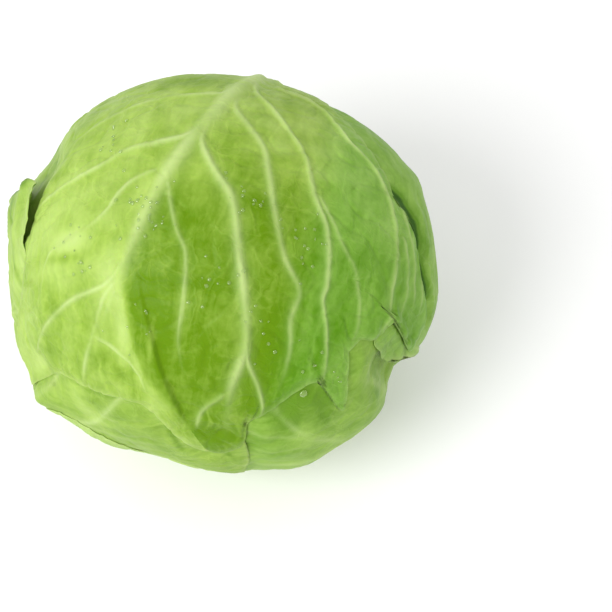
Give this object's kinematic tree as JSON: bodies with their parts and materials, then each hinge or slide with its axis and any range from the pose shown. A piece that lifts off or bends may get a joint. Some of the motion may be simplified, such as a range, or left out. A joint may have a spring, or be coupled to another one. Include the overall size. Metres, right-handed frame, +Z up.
{
  "type": "white cabbage head",
  "caption": "Head of white cabbage lying on its side: overlapping veined wrapper leaves round a packed heart, with the cut stem at the back and a small flat spot to rest on.",
  "frame": {"origin": "on the surface the head rests on, under the middle of its bounding box", "axes": "+Z up, +Y towards the cut stem, -Y towards the crown, +X to the right seen from the crown"},
  "size_m": [0.1738, 0.1582, 0.1634],
  "materials": {
    "top_leaf": "fresh waxy leaf, satin, slightly translucent, pale raised veins",
    "outer_leaf": "fresh waxy leaf, satin, slightly translucent, pale veins",
    "pale_leaf": "paler waxy leaf, satin, slightly translucent",
    "heart_leaf": "pale inner leaves, satin",
    "cut_stem": "cut stem, matt, moist and fibrous, pale green rind",
    "dew": "clear water beads"
  },
  "bodies": {
    "root": {"heart": "heart_leaf", "stem": "cut_stem", "leaf_lower_left": "pale_leaf", "leaf_lower_right": "pale_leaf", "leaf_crown_right": "outer_leaf", "leaf_crown_left": "outer_leaf", "leaf_right": "outer_leaf", "leaf_left": "outer_leaf", "leaf_under": "pale_leaf", "leaf_top": "top_leaf"}
  },
  "joints": []
}
